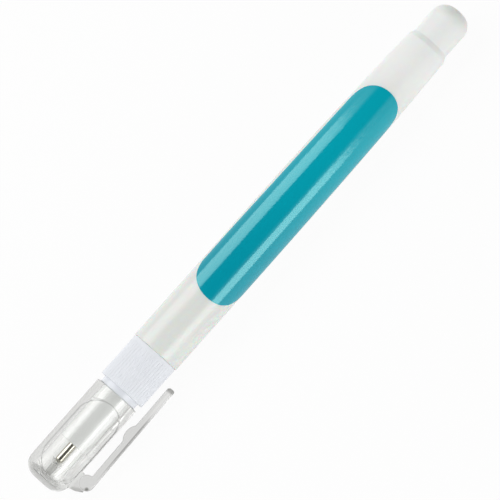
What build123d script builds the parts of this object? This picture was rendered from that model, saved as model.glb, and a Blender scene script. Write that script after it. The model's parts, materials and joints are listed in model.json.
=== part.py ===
from build123d import *
import math
import os

# Correction pen: a squeezable barrel of correction fluid with a metal valve tip under a clear clip cap.
# The pen is built along +X, from the cap's front end at x = 0 to the rear end, about the X axis.
# At the end every piece is rolled and shifted to the way the pen lies on a table, on barrel and clip.

# Lengths along the pen
cap_length = 25.45
bare_neck_length = 1.5
collar_length = 11.2
barrel_length = 90.95
barrel_straight_length = 40.0
shoulder_length = 1.3
post_length = 9.6

# Outside diameters
cap_diameter = 11.1
collar_diameter = 11.7
barrel_front_diameter = 12.1
barrel_rear_diameter = 10.3
post_diameter = 9.2
neck_diameter = 9.7

# Clearances, measured on the radius or across the gap
press_gap = 0.02
push_gap = 0.05
running_gap = 0.05
film_gap = 0.05

# Barrel: a closed tube, straight and then drawn in by a long curve, with a thinner post at the rear
barrel_wall = 0.8
post_end_wall = 1.0
post_nose_radius = 3.5
shoulder_round = 0.7
mouth_round = 0.15

# Cap: thick clear shell that slides on the nozzle, with a rod and a flared cup that covers the writing pin
cap_wall = 1.85
cap_end_wall = 1.85
cap_nose_radius = 3.5
cap_rim_round = 0.15
cap_mouth_chamfer = 0.1
rod_diameter = 1.6
cup_diameter = 3.2
cup_bore_diameter = 2.5
cup_floor_diameter = 1.0
cup_floor_wall = 0.3
cup_pin_room = 0.15
cup_overlap = 0.3
panel_depth = 0.06
panel_front = 2.2
panel_length = 20.7
panel_width = 9.7

# The cap's panel and the label face this far, in degrees, from square to the clip
panel_turn = 9.0
label_turn = 5.5

# Clip on the cap
clip_gap = 2.33
clip_end_gap = 1.83
clip_thickness = 1.88
clip_end_thickness = 1.75
clip_width = 3.6
clip_overhang = 9.0
clip_edge_round = 0.35
clip_end_inner_round = 0.72
clip_end_outer_round = 0.48
clip_root_x = 6.55
clip_root_radius = 1.85
clip_root_lip = 0.4
cradle_front_angle = 160.0
cradle_rear_angle = -56.0
clip_foot_front = 2.8
clip_foot_slant = 0.7
clip_foot_rise = 1.6
clip_bump_x = 21.0
clip_bump_length = 4.6
clip_bump_height = 0.85

# Collar: ribbed grip ring with a neck that the cap seats on and a plug for the barrel's mouth
plug_length = 6.0
snap_bead_height = 0.16
snap_bead_width = 1.0
rib_count = 48
rib_groove_radius = 0.3
rib_groove_depth = 0.06
rib_front_margin = 0.3
rib_rear_margin = 1.0
collar_edge_round = 0.2

# Nozzle
nozzle_front_round = 0.3
nozzle_flange_diameter = 8.6
nozzle_flange_length = 2.0
nozzle_flange_setback = 6.5
nozzle_bore_diameter = 4.8
nozzle_funnel_length = 2.8

# Metal tip and its valve
tip_inset = 5.25
tip_diameter = 2.0
tip_nose_length = 0.65
tip_nose_round = 0.2
tip_mouth_diameter = 1.24
tip_mouth_round = 0.05
tip_bore_diameter = 1.6
tip_land_length = 0.85
tip_seat_length = 0.5
tip_exposed_length = 4.5
tip_hold_length = 6.1
pin_diameter = 0.72
pin_protrusion = 0.45
pin_head_length = 0.8
pin_point_round = 0.29
pin_tail_round = 0.1
pin_land_gap = 0.06
pin_travel = 0.45
spring_wire_diameter = 0.2
spring_mean_diameter = 1.12
spring_turns = 9.5
spring_length = 6.6
stop_length = 2.0
stop_slot_radius = 0.2
stop_slot_count = 4

# Contents
ball_diameter = 5.0
ball_rest_x = 86.0
fluid_level = 2.6

# Label on the side that faces up beside the clip
label_front = 16.35
label_length = 61.0
label_thickness = 0.1
label_half_angle = 73.0
label_end_points = 13

# Stations and radii that follow from the sizes above
cap_radius = cap_diameter / 2
cap_bore_radius = cap_radius - cap_wall
collar_radius = collar_diameter / 2
neck_radius = neck_diameter / 2
post_radius = post_diameter / 2
barrel_front_radius = barrel_front_diameter / 2
barrel_rear_radius = barrel_rear_diameter / 2
bore_slope = (barrel_front_radius - barrel_rear_radius) / barrel_length
barrel_curve_length = barrel_length - barrel_straight_length
barrel_curve_drop = barrel_front_radius - barrel_rear_radius
barrel_curve_radius = (barrel_curve_length**2 + barrel_curve_drop**2) / (2 * barrel_curve_drop)

collar_front_x = cap_length + bare_neck_length
barrel_mouth_x = collar_front_x + collar_length
barrel_curve_x = barrel_mouth_x + barrel_straight_length
shoulder_x = barrel_mouth_x + barrel_length
post_x = shoulder_x + shoulder_length
rear_x = post_x + post_length
neck_front_x = cap_length + push_gap
plug_end_x = barrel_mouth_x + plug_length
snap_x = barrel_mouth_x + plug_length / 2

tip_mouth_x = tip_inset + pin_protrusion
tip_tube_x = tip_mouth_x + tip_nose_length
nozzle_front_x = tip_tube_x + tip_exposed_length
tip_rear_x = nozzle_front_x + tip_hold_length
nozzle_flange_x = neck_front_x + nozzle_flange_setback
nozzle_rear_x = nozzle_flange_x + nozzle_flange_length

tip_radius = tip_diameter / 2
tip_bore_radius = tip_bore_diameter / 2
pin_radius = pin_diameter / 2
pin_head_radius = tip_bore_radius - 2 * pin_land_gap
land_radius = pin_radius + pin_land_gap
seat_x = tip_mouth_x + tip_land_length
seat_end_x = seat_x + tip_seat_length
pin_head_rear_x = seat_end_x + running_gap + pin_head_length
spring_rear_x = pin_head_rear_x + spring_length
spring_front_x = pin_head_rear_x + spring_wire_diameter / 2 + press_gap
spring_pitch = (spring_length - spring_wire_diameter - 2 * press_gap) / spring_turns
stop_rear_x = spring_rear_x + stop_length

nozzle_radius = cap_bore_radius - push_gap
nozzle_flange_radius = nozzle_flange_diameter / 2
nozzle_bore_radius = nozzle_bore_diameter / 2
funnel_x = tip_rear_x + push_gap
rod_radius = rod_diameter / 2
cup_radius = cup_diameter / 2
cup_end_x = tip_mouth_x + cup_overlap
cup_floor_x = tip_inset - cup_pin_room

clip_inner_height = cap_radius + clip_gap
clip_outer_height = clip_inner_height + clip_thickness
clip_end_inner_height = cap_radius + clip_end_gap
clip_end_height = clip_end_inner_height + clip_end_thickness
clip_root_height = clip_outer_height - clip_root_radius
clip_end_x = cap_length + clip_overhang
clip_slope = (clip_end_inner_height - clip_inner_height) / (clip_end_x - clip_root_x)
clip_bump_seat = clip_inner_height + clip_slope * (clip_bump_x - clip_root_x)
clip_half_width = clip_width / 2


# Outside of the barrel: straight, then an arc that leaves it without a corner
def barrel_radius_at(x):
    run = max(x - barrel_curve_x, 0)
    return barrel_front_radius - barrel_curve_radius + math.sqrt(barrel_curve_radius**2 - run**2)


# The bore is one straight cone, so the wall is thickest half way along
def bore_radius_at(x):
    return barrel_front_radius - barrel_wall - bore_slope * (x - barrel_mouth_x)


# Solid of revolution about the pen's axis, from stations of (x, radius, corner rounding)
def turned(*stations):
    corners = [(x, radius) for x, radius, rounding in stations]
    roundings = [rounding for x, radius, rounding in stations]
    return revolve(make_face(FilletPolyline(*corners, radius=roundings, close=True)), Axis.X)


# Flat plate lying in the clip's plane of symmetry: profile in (x, distance from the pen's axis)
clip_plane = Plane(origin=(0, 0, 0), x_dir=(1, 0, 0), z_dir=(0, 0, -1))


def clip_plate(profile, width):
    return extrude(clip_plane * profile, amount=width / 2, both=True)


# Closed bore of the barrel, grown inwards by an allowance
def barrel_bore(allowance, front_x):
    nose_radius = post_nose_radius - barrel_wall - allowance
    return turned(
        (front_x, 0, 0),
        (front_x, bore_radius_at(front_x) - allowance, 0),
        (shoulder_x, bore_radius_at(shoulder_x) - allowance, 0),
        (post_x, post_radius - barrel_wall - allowance, 0),
        (rear_x - post_end_wall - allowance, post_radius - barrel_wall - allowance, nose_radius),
        (rear_x - post_end_wall - allowance, 0, 0),
    )


def snap_ring(inner_radius, height, width):
    radius = bore_radius_at(snap_x)
    return turned(
        (snap_x - width / 2, inner_radius, 0),
        (snap_x - width / 2, radius, 0),
        (snap_x, radius + height, 0),
        (snap_x + width / 2, radius, 0),
        (snap_x + width / 2, inner_radius, 0),
    )


# Line along the barrel's outside between two stations, lifted off it by a gap
def along_barrel(start_x, end_x, gap):
    straight = Line((start_x, barrel_radius_at(start_x) + gap), (barrel_curve_x, barrel_front_radius + gap))
    end = (end_x, barrel_radius_at(end_x) + gap)
    return [straight.edge(), TangentArc(straight @ 1, end, tangent=(1, 0)).edge()]


def make_barrel():
    side = along_barrel(barrel_mouth_x, shoulder_x, 0)
    ends = Polyline(
        (shoulder_x, barrel_rear_radius),
        (post_x, post_radius),
        (rear_x, post_radius),
        (rear_x, 0),
        (barrel_mouth_x, 0),
        (barrel_mouth_x, barrel_front_radius),
    )
    profile = make_face(side + ends.edges())
    roundings = {
        (barrel_mouth_x, barrel_front_radius): mouth_round,
        (shoulder_x, barrel_rear_radius): shoulder_round,
        (post_x, post_radius): shoulder_round / 2,
        (rear_x, post_radius): post_nose_radius,
    }
    for corner, rounding in roundings.items():
        profile = fillet(profile.vertices().sort_by_distance(corner)[:1], rounding)
    outside = revolve(profile, Axis.X)
    groove = snap_ring(nozzle_flange_radius, snap_bead_height, snap_bead_width + 2 * push_gap)
    return outside - barrel_bore(0, barrel_mouth_x) - groove


def make_collar():
    rib_front_x = collar_front_x + rib_front_margin
    rib_length = collar_length - rib_front_margin - rib_rear_margin
    outside = turned(
        (neck_front_x, 0, 0),
        (neck_front_x, neck_radius, collar_edge_round),
        (collar_front_x, neck_radius, 0),
        (collar_front_x, collar_radius, collar_edge_round),
        (barrel_mouth_x, collar_radius, collar_edge_round),
        (barrel_mouth_x, bore_radius_at(barrel_mouth_x) - press_gap, 0),
        (plug_end_x, bore_radius_at(plug_end_x) - press_gap, 0),
        (plug_end_x, 0, 0),
    )
    bead = snap_ring(nozzle_flange_radius + 2 * push_gap, snap_bead_height - push_gap, snap_bead_width)
    passage = turned(
        (neck_front_x, 0, 0),
        (neck_front_x, nozzle_radius + press_gap, 0),
        (nozzle_flange_x, nozzle_radius + press_gap, 0),
        (nozzle_flange_x, nozzle_flange_radius + press_gap, 0),
        (plug_end_x, nozzle_flange_radius + press_gap, 0),
        (plug_end_x, 0, 0),
    )
    groove_height = collar_radius + rib_groove_radius - rib_groove_depth
    groove = Pos(rib_front_x, 0, 0) * extrude(Plane.YZ * Circle(rib_groove_radius), amount=rib_length)
    spacing = 360 / rib_count
    grooves = [Rot(spacing * i, 0, 0) * Pos(0, groove_height, 0) * groove for i in range(rib_count)]
    return (outside + bead - passage) - grooves


def make_nozzle():
    outside = turned(
        (nozzle_front_x, 0, 0),
        (nozzle_front_x, nozzle_radius, nozzle_front_round),
        (nozzle_flange_x, nozzle_radius, 0),
        (nozzle_flange_x, nozzle_flange_radius, 0),
        (nozzle_rear_x, nozzle_flange_radius, 0),
        (nozzle_rear_x, 0, 0),
    )
    bore = turned(
        (nozzle_front_x, 0, 0),
        (nozzle_front_x, tip_radius + press_gap, 0),
        (funnel_x, tip_radius + press_gap, 0),
        (funnel_x + nozzle_funnel_length, nozzle_bore_radius, 0),
        (nozzle_rear_x, nozzle_bore_radius, 0),
        (nozzle_rear_x, 0, 0),
    )
    return outside - bore


def make_tip_tube():
    outside = turned(
        (tip_mouth_x, 0, 0),
        (tip_mouth_x, tip_mouth_diameter / 2, tip_mouth_round),
        (tip_tube_x, tip_radius, tip_nose_round),
        (tip_rear_x, tip_radius, 0),
        (tip_rear_x, 0, 0),
    )
    bore = turned(
        (tip_mouth_x, 0, 0),
        (tip_mouth_x, land_radius, 0),
        (seat_x, land_radius, 0),
        (seat_end_x, tip_bore_radius, 0),
        (tip_rear_x, tip_bore_radius, 0),
        (tip_rear_x, 0, 0),
    )
    return outside - bore


def make_valve_pin():
    tail_x = stop_rear_x - pin_travel
    return turned(
        (tip_inset, 0, 0),
        (tip_inset, pin_radius, pin_point_round),
        (seat_x + running_gap, pin_radius, 0),
        (seat_end_x + running_gap, pin_head_radius, 0),
        (pin_head_rear_x, pin_head_radius, 0),
        (pin_head_rear_x, pin_radius, 0),
        (tail_x, pin_radius, pin_tail_round),
        (tail_x, 0, 0),
    )


# Two tangent arcs that leave one point and reach another in the given directions
def biarc(start, start_way, end, end_way):
    chord = end - start
    ways = start_way + end_way
    bend = 2 * (1 - start_way.dot(end_way))
    reach = (math.sqrt(chord.dot(ways) ** 2 + bend * chord.dot(chord)) - chord.dot(ways)) / bend
    joint = (start + start_way * reach + end - end_way * reach) * 0.5
    first = TangentArc(start, joint, tangent=start_way)
    second = TangentArc(end, joint, tangent=end_way * -1)
    return [first, second]


def spring_point(turn):
    angle = 2 * math.pi * turn
    radius = spring_mean_diameter / 2
    return Vector(spring_pitch * turn, radius * math.cos(angle), radius * math.sin(angle))


def spring_way(turn):
    angle = 2 * math.pi * turn
    around = math.pi * spring_mean_diameter
    return Vector(spring_pitch, -around * math.sin(angle), around * math.cos(angle)).normalized()


def make_valve_spring():
    quarter = 0.25
    arcs = []
    for i in range(int(spring_turns / quarter)):
        here = quarter * i
        there = quarter * (i + 1)
        arcs += biarc(spring_point(here), spring_way(here), spring_point(there), spring_way(there))
    wire = Wire([arc.edge() for arc in arcs])
    section = Plane(origin=spring_point(0), z_dir=spring_way(0)) * Circle(spring_wire_diameter / 2)
    return Pos(spring_front_x, 0, 0) * sweep(section, path=wire)


def least_spring_gap():
    steps = 48
    apart = 36
    points = [spring_point(i / steps) for i in range(int(spring_turns * steps))]
    nearest = min((points[0] - point).length for point in points[apart:])
    return nearest - spring_wire_diameter


def make_spring_stop():
    bush = turned(
        (spring_rear_x, land_radius, 0),
        (spring_rear_x, tip_bore_radius - press_gap, 0),
        (stop_rear_x, tip_bore_radius - press_gap, 0),
        (stop_rear_x, land_radius, 0),
    )
    slot = Pos(spring_rear_x, 0, 0) * extrude(Plane.YZ * Circle(stop_slot_radius), amount=stop_length)
    spacing = 360 / stop_slot_count
    slots = [Rot(spacing * i, 0, 0) * Pos(0, tip_bore_radius, 0) * slot for i in range(stop_slot_count)]
    return bush - slots


# The cap's outer form, drawn in by an allowance
def cap_form(allowance):
    return turned(
        (allowance, 0, 0),
        (allowance, cap_radius - allowance, cap_nose_radius - allowance),
        (cap_length, cap_radius - allowance, cap_rim_round),
        (cap_length, 0, 0),
    )


def make_cap_shell():
    cavity = turned(
        (cap_end_wall, 0, 0),
        (cap_end_wall, cap_bore_radius, cap_nose_radius - cap_wall),
        (cap_length - cap_mouth_chamfer, cap_bore_radius, 0),
        (cap_length, cap_bore_radius + cap_mouth_chamfer, 0),
        (cap_length, 0, 0),
    )
    cup = turned(
        (cap_end_wall / 2, 0, 0),
        (cap_end_wall / 2, rod_radius, 0),
        (cup_floor_x - cup_floor_wall, rod_radius, 0),
        (cup_end_x, cup_radius, 0),
        (cup_end_x, 0, 0),
    )
    cup_bore = turned(
        (cup_floor_x, 0, 0),
        (cup_floor_x, cup_floor_diameter / 2, 0),
        (cup_end_x, cup_bore_diameter / 2, 0),
        (cup_end_x, 0, 0),
    )
    foot_height = cap_radius - cap_wall / 2
    reach = clip_root_radius + clip_root_lip
    front_lip = math.radians(cradle_front_angle)
    rear_lip = math.radians(cradle_rear_angle)
    foot_profile = make_face(
        Polyline(
            (clip_foot_front, foot_height),
            (clip_foot_front + clip_foot_slant, cap_radius + clip_foot_rise),
            (clip_root_x + reach * math.cos(front_lip), clip_root_height + reach * math.sin(front_lip)),
            (clip_root_x, clip_root_height),
            (clip_root_x + reach * math.cos(rear_lip), clip_root_height + reach * math.sin(rear_lip)),
            (clip_root_x + reach * math.cos(rear_lip), foot_height),
            close=True,
        )
    )
    cradle = Pos(clip_root_x, clip_root_height) * Circle(clip_root_radius + running_gap)
    foot = clip_plate(foot_profile - cradle, clip_width)
    foot = fillet(foot.faces().filter_by(Axis.Z).edges().filter_by(GeomType.LINE), clip_edge_round)
    panel_centre_x = panel_front + panel_length / 2
    panel = extrude(Pos(panel_centre_x, 0) * SlotOverall(panel_length, panel_width), amount=cap_radius)
    recess = Rot(panel_turn, 0, 0) * panel & (cap_form(0) - cap_form(panel_depth))
    shell = cap_form(0) - cavity + cup - cup_bore + foot
    return shell - recess


def make_cap_clip():
    bar = make_face(
        FilletPolyline(
            (clip_root_x, clip_inner_height),
            (clip_end_x, clip_end_inner_height),
            (clip_end_x, clip_end_height),
            (clip_root_x, clip_outer_height),
            radius=[0, clip_end_inner_round, clip_end_outer_round, 0],
            close=True,
        )
    )
    half = clip_bump_length / 2
    bump_radius = (half**2 + clip_bump_height**2) / (2 * clip_bump_height)
    bump_centre = clip_bump_seat + bump_radius - clip_bump_height
    bump = Pos(clip_bump_x, bump_centre) * Circle(bump_radius)
    below = Pos(clip_bump_x, clip_bump_seat) * Rectangle(clip_bump_length, 2 * clip_bump_height)
    knuckle = Pos(clip_root_x, clip_root_height) * Circle(clip_root_radius)
    plate = clip_plate(bar + (bump & below) + knuckle, clip_width)
    return fillet(plate.faces().filter_by(Axis.Z).edges(), clip_edge_round)


# Round end of the label, seen square on: a half circle of film bent round the barrel
def label_end(x, way):
    radius = barrel_radius_at(x)
    reach = radius * math.radians(label_half_angle)
    points = []
    for i in range(label_end_points):
        angle = math.pi * (i / (label_end_points - 1) - 0.5)
        across = (radius + 2 * label_thickness) * math.sin(reach * math.sin(angle) / radius)
        points.append((x - way * reach * (1 - math.cos(angle)), across))
    return Spline(*points)


def make_label():
    label_x = barrel_mouth_x + label_front
    label_end_x = label_x + label_length
    inside = along_barrel(label_x, label_end_x, press_gap)
    outside = along_barrel(label_x, label_end_x, press_gap + label_thickness)
    front_edge = Line(inside[0] @ 0, outside[0] @ 0)
    rear_edge = Line(inside[1] @ 1, outside[1] @ 1)
    strip = make_face(inside + outside + [front_edge.edge(), rear_edge.edge()])
    film = Rot(90 - label_half_angle, 0, 0) * revolve(strip, Axis.X, revolution_arc=2 * label_half_angle)
    front = label_end(label_x, -1)
    rear = label_end(label_end_x, 1)
    sides = [Line(front @ 0, rear @ 0), Line(front @ 1, rear @ 1)]
    outline = make_face([front.edge(), rear.edge()] + [side.edge() for side in sides])
    return Rot(label_turn, 0, 0) * (film & extrude(outline, amount=barrel_front_diameter))


def ball_centre(x):
    return Vector(x, 0, ball_diameter / 2 + film_gap - bore_radius_at(x))


def make_mixing_ball():
    return Pos(ball_centre(ball_rest_x)) * Sphere(ball_diameter / 2)


def make_fluid():
    column = barrel_bore(film_gap, plug_end_x + film_gap)
    front = turned(
        (funnel_x + nozzle_funnel_length, 0, 0),
        (funnel_x + nozzle_funnel_length, nozzle_bore_radius - film_gap, 0),
        (nozzle_rear_x + film_gap, nozzle_bore_radius - film_gap, 0),
        (nozzle_rear_x + film_gap, nozzle_flange_radius - film_gap, 0),
        (plug_end_x + 2 * film_gap, nozzle_flange_radius - film_gap, 0),
        (plug_end_x + 2 * film_gap, 0, 0),
    )
    surface = Plane((0, 0, fluid_level), z_dir=(0, 0, 1))
    filled = split(column + front, surface, keep=Keep.BOTTOM)
    pocket = Pos(ball_centre(ball_rest_x)) * Sphere(ball_diameter / 2 + film_gap)
    return filled - pocket


# The pen lies on its barrel with the clip's lower edge on the table, so it doesn't roll
clip_corner_height = clip_outer_height - clip_edge_round
clip_corner_side = clip_half_width - clip_edge_round
corner_reach = math.hypot(clip_corner_height, clip_corner_side)
corner_angle = math.atan2(clip_corner_side, clip_corner_height)
rest_roll = math.asin((barrel_front_radius - clip_edge_round) / corner_reach) - corner_angle
clip_side = (
    clip_corner_height * math.cos(rest_roll) + clip_corner_side * math.sin(rest_roll) + clip_edge_round
)
axis_y = (clip_side - barrel_front_radius) / 2
rest_place = Pos(-rear_x / 2, axis_y, barrel_front_radius)
rest_pose = rest_place * Rot(math.degrees(rest_roll), 0, 0)

held_pieces = {
    "barrel": make_barrel,
    "grip_collar": make_collar,
    "nozzle": make_nozzle,
    "tip_tube": make_tip_tube,
    "valve_pin": make_valve_pin,
    "valve_spring": make_valve_spring,
    "spring_stop": make_spring_stop,
    "cap_shell": make_cap_shell,
    "cap_clip": make_cap_clip,
    "label": make_label,
}
loose_contents = {
    "mixing_ball": make_mixing_ball,
    "correction_fluid": make_fluid,
}


def main():
    os.makedirs("parts", exist_ok=True)
    for name, make in held_pieces.items():
        export_step(rest_pose * make(), f"parts/{name}.step")
    for name, make in loose_contents.items():
        piece = rest_place * make()
        export_step(piece, f"parts/{name}.step")
        print(name, "volume", round(piece.volume / 1000, 2), "ml")
    print("least gap between the spring's turns", round(least_spring_gap(), 2), "mm")


if __name__ == "__main__":
    main()
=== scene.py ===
import json
import math

import bpy
from mathutils import Matrix, Vector


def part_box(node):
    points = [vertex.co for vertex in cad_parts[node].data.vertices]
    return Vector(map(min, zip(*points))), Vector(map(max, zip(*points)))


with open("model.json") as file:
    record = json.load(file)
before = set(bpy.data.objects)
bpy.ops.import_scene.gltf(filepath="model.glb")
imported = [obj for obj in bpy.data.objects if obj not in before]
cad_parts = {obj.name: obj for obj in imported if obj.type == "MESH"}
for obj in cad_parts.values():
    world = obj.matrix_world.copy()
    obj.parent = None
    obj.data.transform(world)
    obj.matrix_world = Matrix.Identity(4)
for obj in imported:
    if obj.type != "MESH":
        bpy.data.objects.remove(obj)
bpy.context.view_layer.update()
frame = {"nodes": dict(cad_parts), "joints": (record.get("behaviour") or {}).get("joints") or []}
print("frame loaded:", len(frame["nodes"]), "pieces")

# The pen's own directions: along it, towards the clip, and square to both where the label faces
mm = 0.001
white = (1, 1, 1, 1)
joints = {joint["name"]: joint for joint in frame["joints"]}
barrelLow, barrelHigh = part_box("barrel")
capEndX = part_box("cap_shell")[0].x
penAlong = Vector((1, 0, 0))
penFacing = -Vector(joints["clip_flex"]["axis"]).normalized()
penToClip = penAlong.cross(penFacing)
axisY = (barrelLow.y + barrelHigh.y) / 2
axisZ = (barrelLow.z + barrelHigh.z) / 2


def penPoint(along, towardsClip=0.0):
    # a place given in metres from the cap's end, along and across the pen
    return Vector((capEndX + along, axisY, axisZ)) + penToClip * towardsClip


def turned(degrees):
    # a direction square to the pen, turned from where the label faces towards the clip
    angle = math.radians(degrees)
    return penFacing * math.cos(angle) + penToClip * math.sin(angle)


class Wire:
    # a socket that takes part in sums: each operator adds one Math node
    def __init__(self, finish, socket):
        self.finish = finish
        self.socket = socket

    def sum(self, operation, *values):
        sockets = dict(enumerate(values))
        return self.finish.add("ShaderNodeMath", sockets, operation=operation)

    def __add__(self, other):
        return self.sum("ADD", self, other)

    def __radd__(self, other):
        return self.sum("ADD", other, self)

    def __sub__(self, other):
        return self.sum("SUBTRACT", self, other)

    def __rsub__(self, other):
        return self.sum("SUBTRACT", other, self)

    def __mul__(self, other):
        return self.sum("MULTIPLY", self, other)

    def __gt__(self, other):
        return self.sum("GREATER_THAN", self, other)

    def __lt__(self, other):
        return self.sum("LESS_THAN", self, other)


class Finish:
    # one material, or the world, and the nodes that make it
    def __init__(self, name, world=None):
        self.owner = world or bpy.data.materials.new(name)
        self.owner.use_nodes = True
        self.tree = self.owner.node_tree
        self.tree.nodes.clear()

    def add(self, kind, sockets=None, output=0, **settings):
        node = self.tree.nodes.new(kind)
        for key, value in settings.items():
            setattr(node, key, value)
        for key, value in (sockets or {}).items():
            if isinstance(value, Wire):
                self.tree.links.new(value.socket, node.inputs[key])
            else:
                node.inputs[key].default_value = value
        return Wire(self, node.outputs[output]) if node.outputs else None

    def place(self):
        return self.add("ShaderNodeTexCoord", output="Object")

    def ray(self, kind):
        return self.add("ShaderNodeLightPath", output=kind)

    def dot(self, first, second):
        sockets = {0: first, 1: second}
        return self.add("ShaderNodeVectorMath", sockets, "Value", operation="DOT_PRODUCT")

    def reach(self, way):
        # distance from the middle of the cap's end, measured one way
        sockets = {0: self.place(), 1: penPoint(0)}
        return self.dot(self.add("ShaderNodeVectorMath", sockets, operation="SUBTRACT"), way)

    def rise(self, value, start, end):
        # 0 up to start, 1 from end on, smooth between
        sockets = {"Value": value, "From Min": start, "From Max": end}
        return self.add("ShaderNodeMapRange", sockets, interpolation_type="SMOOTHSTEP")

    def fall(self, value, start, end):
        return 1 - self.rise(value, start, end)

    def band(self, value, starts, ends):
        return self.rise(value, *starts) - self.rise(value, *ends)

    def noise(self, scale, detail=2.0, stretch=(1, 1, 1)):
        spot = self.add("ShaderNodeMapping", {"Vector": self.place(), "Scale": stretch})
        sockets = {"Vector": spot, "Scale": scale, "Detail": detail}
        return self.add("ShaderNodeTexNoise", sockets)

    def size(self, value):
        return value.sum("ABSOLUTE", value)

    def distance(self, first, second):
        squares = first * first + second * second
        return squares.sum("SQRT", squares)

    def least(self, limit, value):
        return value.sum("MAXIMUM", limit, value)

    def most(self, limit, value):
        return value.sum("MINIMUM", limit, value)

    def mixColour(self, factor, first, second):
        # the colour sockets of a Mix node come after those for numbers and vectors
        sockets = {0: factor, 6: first, 7: second}
        return self.add("ShaderNodeMix", sockets, output=2, data_type="RGBA")

    def mixShader(self, factor, first, second):
        return self.add("ShaderNodeMixShader", {0: factor, 1: first, 2: second})

    def bump(self, height, strength=1.0, distance=1.0):
        sockets = {"Height": height, "Strength": strength, "Distance": distance}
        return self.add("ShaderNodeBump", sockets)

    def surface(self, shader, inside=None):
        sockets = {"Surface": shader, "Volume": inside} if inside else {"Surface": shader}
        self.add("ShaderNodeOutputMaterial", sockets)
        return self.owner


def dress(node, material):
    piece = frame["nodes"][node]
    piece.data.materials.clear()
    piece.data.materials.append(material)


# lengths along are from the cap's end, across from the pen's axis; shares are of full effect
clearSet = {
    "tint": (0.945, 0.947, 0.938, 1), "shadowTint": (0.9, 0.91, 0.91, 1), "ior": 1.53,
    "depthColour": (0.5, 0.5, 0.48, 1), "depthDensity": 100,
    "roughness": 0.05, "roughnessSpread": 0.03,
    "ripple": {"scale": 260, "detail": 3, "stretch": (0.35, 1, 1)}, "rippleDepth": 0.004 * mm,
    "scuffFades": (0.3 * mm, 3.2 * mm), "scuffRoughness": 0.08,
    "frost": (0.95, 0.95, 0.94, 1), "noseFades": (0.5 * mm, 2.0 * mm), "noseShare": 0.55,
    "footStarts": (2.4 * mm, 4.5 * mm), "footEnds": (7.5 * mm, 16 * mm),
    "footInner": (2.2 * mm, 4.0 * mm), "footOuter": (4.8 * mm, 5.5 * mm), "footShare": 0.45,
    "panelTurn": 9.0, "panelMiddle": 12.55 * mm,
    "panelStraight": 5.5 * mm, "panelRadius": 4.85 * mm,
    "lineWidth": 0.18 * mm, "lineDepth": 0.04 * mm, "lineShadeShare": 0.6,
    "rodFades": (1.3 * mm, 1.5 * mm), "rodEnds": (4.4 * mm, 5.4 * mm), "rodShadeShare": 0.33,
    "paintedShadeTint": (0.3, 0.3, 0.29, 1),
    "clipTint": (0.86, 0.86, 0.853, 1), "clipFades": (5.6 * mm, 6.2 * mm), "clipSmoother": 0.03,
    "armStart": 6.55 * mm, "armSlant": 0.0223,
    "edgeInner": (9.05 * mm, 9.2 * mm), "edgeOuter": (9.6 * mm, 9.75 * mm), "edgeShadeShare": 0.6,
    "edgeStarts": (7 * mm, 17 * mm), "edgeEnds": (23 * mm, 28 * mm), "edgeEndShare": 0.9,
    "endFades": (33.1 * mm, 33.9 * mm), "endShadeShare": 0.7,
    "legAlong": 3.5 * mm, "legToClip": 7.15 * mm, "legSlope": 58.4,
    "legFades": (0.4 * mm, 1.2 * mm), "legShadeShare": 0.4,
    "bendShadeAlong": 5.5 * mm, "bendShadeToClip": 8.8 * mm,
    "bendShadeFades": (0.15 * mm, 0.6 * mm), "bendShadeShare": 0.8,
    "roundFrom": 0.15, "roundTo": 0.96, "roundShadeShare": 0.3,
    "paintedLightTint": (1, 1, 0.995, 1),
    "paintedLightFades": (24 * mm, 30 * mm), "paintedLightInner": (8.3 * mm, 9.0 * mm),
}
clipSet = {**clearSet, "clipTint": (0.88, 0.88, 0.875, 1), "depthDensity": 105}


def markPanel(finish, use, along):
    # outline of the oblong panel on the cap's side, used for a bumped groove and a line of
    # painted shade
    facing = finish.reach(turned(use["panelTurn"]))
    across = finish.reach(turned(use["panelTurn"] + 90))
    fromMiddle = finish.size(along - use["panelMiddle"])
    pastStraight = finish.least(0, fromMiddle - use["panelStraight"])
    fromLine = finish.size(finish.distance(pastStraight, across) - use["panelRadius"])
    return finish.fall(fromLine, 0, use["lineWidth"]) * (facing > 0)


def paintedClipShade(finish, use, along, toClip, acrossArm, onClip):
    # painted shade: a dark line inside the arm's outer edge fades out before the free end, which
    # is darkened with painted shade again
    edgeEnd = finish.rise(along, *use["edgeEnds"]) * use["edgeEndShare"]
    edgeRun = finish.rise(along, *use["edgeStarts"]) - edgeEnd
    edge = finish.band(acrossArm, use["edgeInner"], use["edgeOuter"]) * edgeRun
    end = finish.rise(along, *use["endFades"])
    # painted shade darkens the front of the leg, with a spot of painted shade where it bends into
    # the arm
    slope = math.radians(use["legSlope"])
    legAlong = along - use["legAlong"]
    legAcross = toClip - use["legToClip"]
    fromLeg = legAlong * math.sin(slope) - legAcross * math.cos(slope)
    leg = finish.fall(fromLeg, *use["legFades"]) * onClip
    fromBendShade = finish.distance(along - use["bendShadeAlong"], toClip - use["bendShadeToClip"])
    bendShade = finish.fall(fromBendShade, *use["bendShadeFades"])
    # the rounded edges face neither straight out nor sideways, and get painted shade
    normal = finish.add("ShaderNodeTexCoord", output="Normal")
    outward = finish.size(finish.dot(normal, penFacing))
    rounded = (outward > use["roundFrom"]) * (outward < use["roundTo"]) * onClip
    return (
        edge * use["edgeShadeShare"] + end * use["endShadeShare"] + leg * use["legShadeShare"]
        + bendShade * use["bendShadeShare"] + rounded * use["roundShadeShare"]
    )


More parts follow.
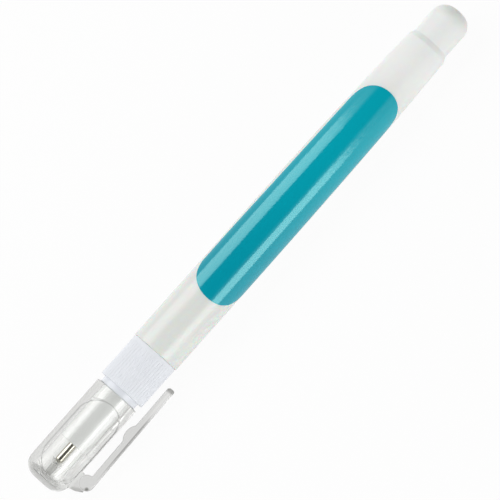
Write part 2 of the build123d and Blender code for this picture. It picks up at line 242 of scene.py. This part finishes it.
def makeClearPlastic(name, use):
    finish = Finish(name)
    ripple = finish.noise(**use["ripple"])
    along = finish.reach(penAlong)
    toClip = finish.reach(penToClip)
    facing = finish.reach(penFacing)
    onClip = finish.rise(toClip, *use["clipFades"])
    # the arm leans in towards its free end
    acrossArm = toClip + (along - use["armStart"]) * use["armSlant"]
    panelLine = markPanel(finish, use, along)
    # the rod inside the cap is thick, and painted shade makes it a little greyer
    inRod = finish.fall(finish.distance(toClip, facing), *use["rodFades"])
    rod = inRod * finish.fall(along, *use["rodEnds"])
    # painted shade: the panel's outline, the rod and the clip's marks are mixed towards a dark
    # tint
    shade = panelLine * use["lineShadeShare"] + rod * use["rodShadeShare"]
    shade = shade + paintedClipShade(finish, use, along, toClip, acrossArm, onClip)
    # painted light makes the arm lighter towards its free end
    paintedLighter = finish.rise(along, *use["paintedLightFades"]) * finish.rise(acrossArm, *use["paintedLightInner"])
    clipTint = finish.mixColour(paintedLighter, use["clipTint"], use["paintedLightTint"])
    tint = finish.mixColour(onClip, use["tint"], clipTint)
    # the closed end is scuffed from standing on it
    scuffed = finish.fall(along, *use["scuffFades"])
    roughness = use["roughness"] + ripple * use["roughnessSpread"]
    roughness = roughness + scuffed * use["scuffRoughness"] - onClip * use["clipSmoother"]
    plastic = finish.add("ShaderNodeBsdfPrincipled", {
        "Base Color": finish.mixColour(finish.most(1, shade), tint, use["paintedShadeTint"]),
        "Roughness": roughness,
        "IOR": use["ior"],
        "Transmission Weight": 1.0,
        "Normal": finish.bump(ripple * use["rippleDepth"] - panelLine * use["lineDepth"]),
    })
    # the closed end and the cap's side at the clip's foot are a little frosted
    nose = finish.fall(along, *use["noseFades"])
    footAlong = finish.band(along, use["footStarts"], use["footEnds"])
    footAcross = finish.band(toClip, use["footInner"], use["footOuter"])
    frosted = nose * use["noseShare"] + footAlong * footAcross * use["footShare"]
    frost = finish.add("ShaderNodeBsdfDiffuse", {"Color": use["frost"]})
    plastic = finish.mixShader(frosted, plastic, frost)
    # most light passes, so the shadow is pale
    passing = finish.add("ShaderNodeBsdfTransparent", {"Color": use["shadowTint"]})
    depthSockets = {"Color": use["depthColour"], "Density": use["depthDensity"]}
    depth = finish.add("ShaderNodeVolumeAbsorption", depthSockets)
    return finish.surface(finish.mixShader(finish.ray("Is Shadow Ray"), plastic, passing), depth)


barrelSet = {
    "colour": (0.74, 0.763, 0.726, 1), "clouded": (0.77, 0.789, 0.758, 1),
    "cloud": {"scale": 90, "detail": 3, "stretch": (0.4, 1, 1)},
    "rearPaintedLightColour": (0.93, 0.93, 0.905, 1), "rearFades": (100 * mm, 125 * mm),
    "roughness": 0.2, "roughnessSpread": 0.08, "rearRoughness": 0.22,
    "grain": {"scale": 2600}, "grainBump": {"strength": 0.15, "distance": 0.006 * mm},
    "ior": 1.5, "depth": 0.35, "depthScale": 1.2 * mm,
}


def makeBarrelPlastic():
    use = barrelSet
    finish = Finish("barrel_translucent_plastic")
    cloud = finish.noise(**use["cloud"])
    grain = finish.noise(**use["grain"])
    # painted light: the barrel is lighter towards its rear, where the softboxes' light falls off;
    # the rear is also rougher
    rear = finish.rise(finish.reach(penAlong), *use["rearFades"])
    roughness = use["roughness"] + cloud * use["roughnessSpread"] + rear * use["rearRoughness"]
    colour = finish.mixColour(cloud, use["colour"], use["clouded"])
    plastic = finish.add("ShaderNodeBsdfPrincipled", {
        "Base Color": finish.mixColour(rear, colour, use["rearPaintedLightColour"]),
        "Roughness": roughness,
        "IOR": use["ior"],
        "Subsurface Weight": use["depth"],
        "Subsurface Scale": use["depthScale"],
        "Normal": finish.bump(grain, **use["grainBump"]),
    })
    return finish.surface(plastic)


# the collar's neck, in front of its ribs, is smoother
collarSet = {
    "colour": (0.765, 0.79, 0.835, 1), "worn": (0.795, 0.815, 0.85, 1),
    "cloud": {"scale": 220, "detail": 3}, "grain": {"scale": 3200},
    "grainBump": {"strength": 0.2, "distance": 0.006 * mm},
    "roughness": 0.5, "roughnessSpread": 0.12, "ior": 1.5,
    "smoothTo": 26.94 * mm, "smoother": 0.36,
}
nozzleSet = {
    "colour": (0.78, 0.785, 0.78, 1), "worn": (0.82, 0.825, 0.82, 1),
    "cloud": {"scale": 300, "detail": 3}, "grain": {"scale": 3600},
    "grainBump": {"strength": 0.2, "distance": 0.004 * mm},
    "roughness": 0.2, "roughnessSpread": 0.1, "ior": 1.5,
}
stopSet = {
    "colour": (0.72, 0.71, 0.67, 1), "worn": (0.8, 0.79, 0.76, 1),
    "cloud": {"scale": 900, "detail": 3}, "grain": {"scale": 5200},
    "grainBump": {"strength": 0.2, "distance": 0.003 * mm},
    "roughness": 0.4, "roughnessSpread": 0.1, "ior": 1.5,
}


def makeMouldedPlastic(name, use):
    finish = Finish(name)
    cloud = finish.noise(**use["cloud"])
    grain = finish.noise(**use["grain"])
    roughness = use["roughness"] + grain * use["roughnessSpread"]
    if "smoothTo" in use:
        onNeck = finish.reach(penAlong) < use["smoothTo"]
        roughness = roughness - onNeck * use["smoother"]
    plastic = finish.add("ShaderNodeBsdfPrincipled", {
        "Base Color": finish.mixColour(cloud, use["colour"], use["worn"]),
        "Roughness": roughness,
        "IOR": use["ior"],
        "Normal": finish.bump(grain, **use["grainBump"]),
    })
    return finish.surface(plastic)


labelSet = {
    "colour": (0.0, 0.30, 0.40, 1), "inkVaried": (0.0, 0.33, 0.425, 1),
    "ink": {"scale": 420, "detail": 4},
    "rearPaintedLightColour": (0.0, 0.39, 0.49, 1), "rearFades": (58 * mm, 105 * mm),
    "roughness": 0.1, "roughnessSpread": 0.05,
    "wave": {"scale": 120, "stretch": (0.3, 1, 1)},
    "waveBump": {"strength": 0.1, "distance": 0.005 * mm},
    "ior": 1.6, "gloss": 0.7, "glossTint": (0.56, 1, 0.94, 1),
}


def makeLabelFilm():
    use = labelSet
    finish = Finish("label_printed_film")
    ink = finish.noise(**use["ink"])
    wave = finish.noise(**use["wave"])
    teal = finish.mixColour(ink, use["colour"], use["inkVaried"])
    # painted light: the teal is lighter towards the rear, where the softboxes' light falls off
    rear = finish.rise(finish.reach(penAlong), *use["rearFades"])
    film = finish.add("ShaderNodeBsdfPrincipled", {
        "Base Color": finish.mixColour(rear, teal, use["rearPaintedLightColour"]),
        "Roughness": use["roughness"] + ink * use["roughnessSpread"],
        "IOR": use["ior"],
        "Specular IOR Level": use["gloss"],
        "Specular Tint": use["glossTint"],
        "Normal": finish.bump(wave, **use["waveBump"]),
    })
    return finish.surface(film)


# turning leaves fine rings round the pen's axis
ringStretch = (1, 0.05, 0.05)
ringBump = {"strength": 0.2, "distance": 0.001 * mm}
tipSet = {
    "colour": (0.74, 0.72, 0.64, 1), "roughness": 0.06, "roughnessSpread": 0.1,
    "rings": {"scale": 9000, "stretch": ringStretch},
}
valveSet = {
    "colour": (0.66, 0.66, 0.67, 1), "roughness": 0.2, "roughnessSpread": 0.15,
    "rings": {"scale": 7000, "stretch": ringStretch},
}
ballSet = {
    "colour": (0.6, 0.6, 0.62, 1), "roughness": 0.12, "roughnessSpread": 0.1,
    "rings": {"scale": 2500, "stretch": ringStretch},
}


def makeTurnedMetal(name, use):
    finish = Finish(name)
    rings = finish.noise(**use["rings"])
    metal = finish.add("ShaderNodeBsdfPrincipled", {
        "Base Color": use["colour"],
        "Metallic": 1.0,
        "Roughness": use["roughness"] + rings * use["roughnessSpread"],
        "Normal": finish.bump(rings, **ringBump),
    })
    return finish.surface(metal)


fluidSet = {
    "colour": (0.86, 0.86, 0.84, 1), "settled": (0.8, 0.8, 0.77, 1),
    "cloud": {"scale": 160, "detail": 4, "stretch": (0.4, 1, 1)},
    "roughness": 0.12, "roughnessSpread": 0.1,
    "swirlBump": {"strength": 0.1, "distance": 0.02 * mm},
}


def makeFluid():
    use = fluidSet
    finish = Finish("correction_fluid_white")
    cloud = finish.noise(**use["cloud"])
    liquid = finish.add("ShaderNodeBsdfPrincipled", {
        "Base Color": finish.mixColour(cloud, use["colour"], use["settled"]),
        "Roughness": use["roughness"] + cloud * use["roughnessSpread"],
        "Normal": finish.bump(cloud, **use["swirlBump"]),
    })
    return finish.surface(liquid)


dress("cap_shell", makeClearPlastic("cap_clear_plastic", clearSet))
dress("cap_clip", makeClearPlastic("clip_clear_plastic", clipSet))
dress("barrel", makeBarrelPlastic())
dress("grip_collar", makeMouldedPlastic("collar_bluish_white_plastic", collarSet))
dress("nozzle", makeMouldedPlastic("nozzle_natural_plastic", nozzleSet))
dress("spring_stop", makeMouldedPlastic("stop_natural_plastic", stopSet))
dress("label", makeLabelFilm())
dress("tip_tube", makeTurnedMetal("tip_bright_metal", tipSet))
valveMetal = makeTurnedMetal("valve_drawn_steel", valveSet)
dress("valve_pin", valveMetal)
dress("valve_spring", valveMetal)
dress("mixing_ball", makeTurnedMetal("ball_polished_steel", ballSet))
dress("correction_fluid", makeFluid())
print("materials made")

floorSet = {
    "size": 4.0, "colour": (0.76, 0.76, 0.76, 1),
    "seenPale": 0.95, "mirroredPale": 0.7, "throughPale": 0.55,
}


def makeFloor():
    use = floorSet
    half = use["size"] / 2
    corners = [(-half, -half, 0), (half, -half, 0), (half, half, 0), (-half, half, 0)]
    mesh = bpy.data.meshes.new("floor")
    mesh.from_pydata(corners, [], [(0, 1, 2, 3)])
    floor = bpy.data.objects.new("floor", mesh)
    bpy.context.scene.collection.objects.link(floor)
    finish = Finish("floor_white_card")
    card = finish.add("ShaderNodeBsdfDiffuse", {"Color": use["colour"]})
    pale = finish.add("ShaderNodeEmission", {"Color": white, "Strength": 1.0})
    seen = finish.ray("Is Camera Ray") * use["seenPale"]
    mirrored = finish.ray("Is Glossy Ray") * use["mirroredPale"]
    through = finish.ray("Is Transmission Ray") * use["throughPale"]
    share = seen + mirrored + through
    mesh.materials.append(finish.surface(finish.mixShader(share, card, pale)))


# the room is pale, but dark round the side that the label faces; angles are in degrees
worldSet = {
    "room": (0.62, 0.62, 0.62, 1), "dark": (0.04, 0.04, 0.04, 1),
    "darkAngle": -11, "inner": 30, "outer": 46, "throughShare": 0.85,
}


def makeWorld():
    use = worldSet
    world = bpy.data.worlds.new("studio")
    bpy.context.scene.world = world
    finish = Finish("studio", world)
    way = finish.add("ShaderNodeTexCoord", output="Generated")
    nearness = finish.dot(way, turned(use["darkAngle"]))
    outer = math.cos(math.radians(use["outer"]))
    inner = math.cos(math.radians(use["inner"]))
    lessThrough = finish.ray("Is Transmission Ray") * (1 - use["throughShare"])
    darkShare = finish.rise(nearness, outer, inner) * (1 - lessThrough)
    shade = finish.mixColour(darkShare, use["room"], use["dark"])
    room = finish.add("ShaderNodeBackground", {"Color": shade, "Strength": 1.0})
    plain = finish.add("ShaderNodeBackground", {"Color": white, "Strength": 1.0})
    seen = finish.ray("Is Camera Ray")
    finish.add("ShaderNodeOutputWorld", {"Surface": finish.mixShader(seen, room, plain)})


# angles are round the pen from where the label faces, positive towards the clip;
# front and rear are along the pen
softboxSet = {
    "upper": {
        "from": -86, "to": -40, "distance": 0.36, "front": -0.26, "rear": 0.088, "radiance": 2.75,
    },
    "lower": {
        "from": 34, "to": 63, "distance": 0.36, "front": -0.26, "rear": 0.078, "radiance": 3.7,
    },
}


def makeSoftbox(name, use):
    away = turned((use["from"] + use["to"]) / 2)
    spread = math.radians(use["to"] - use["from"])
    width = 2 * use["distance"] * math.tan(spread / 2)
    length = use["rear"] - use["front"]
    light = bpy.data.lights.new(name, "AREA")
    light.shape = "RECTANGLE"
    light.size = length
    light.size_y = width
    light.energy = use["radiance"] * math.pi * length * width
    softbox = bpy.data.objects.new(name, light)
    bpy.context.scene.collection.objects.link(softbox)
    axisPoint = Vector(((use["front"] + use["rear"]) / 2, axisY, axisZ))
    turn = Matrix((penAlong, away.cross(penAlong), away)).transposed().to_4x4()
    softbox.matrix_world = Matrix.Translation(axisPoint + away * use["distance"]) @ turn


cameraSet = {
    "distance": 0.75, "viewWidth": 0.11108, "sensorWidth": 36, "tilt": 4.0, "penAngle": 48.316,
    "alongCentre": 69.1 * mm, "clipCentre": 0.61 * mm,
}


def makeCamera():
    use = cameraSet
    tilt = math.radians(use["tilt"])
    back = penFacing * math.cos(tilt) - penAlong * math.sin(tilt)
    target = penPoint(use["alongCentre"], use["clipCentre"])
    run = (penAlong - back * penAlong.dot(back)).normalized()
    side = back.cross(run)
    penAngle = math.radians(use["penAngle"])
    right = run * math.cos(penAngle) - side * math.sin(penAngle)
    up = run * math.sin(penAngle) + side * math.cos(penAngle)
    lens = bpy.data.cameras.new("camera")
    lens.sensor_width = use["sensorWidth"]
    lens.lens = use["sensorWidth"] * use["distance"] / use["viewWidth"]
    camera = bpy.data.objects.new("camera", lens)
    bpy.context.scene.collection.objects.link(camera)
    turn = Matrix((right, up, back)).transposed().to_4x4()
    camera.matrix_world = Matrix.Translation(target + back * use["distance"]) @ turn
    bpy.context.scene.camera = camera


makeFloor()
makeWorld()
for name, use in softboxSet.items():
    makeSoftbox("softbox_" + name, use)
makeCamera()
bpy.context.scene.view_settings.view_transform = "Standard"
bpy.context.scene.cycles.max_bounces = 24
bpy.context.scene.cycles.glossy_bounces = 16
bpy.context.scene.cycles.transmission_bounces = 24
print("floor, lights and camera placed")
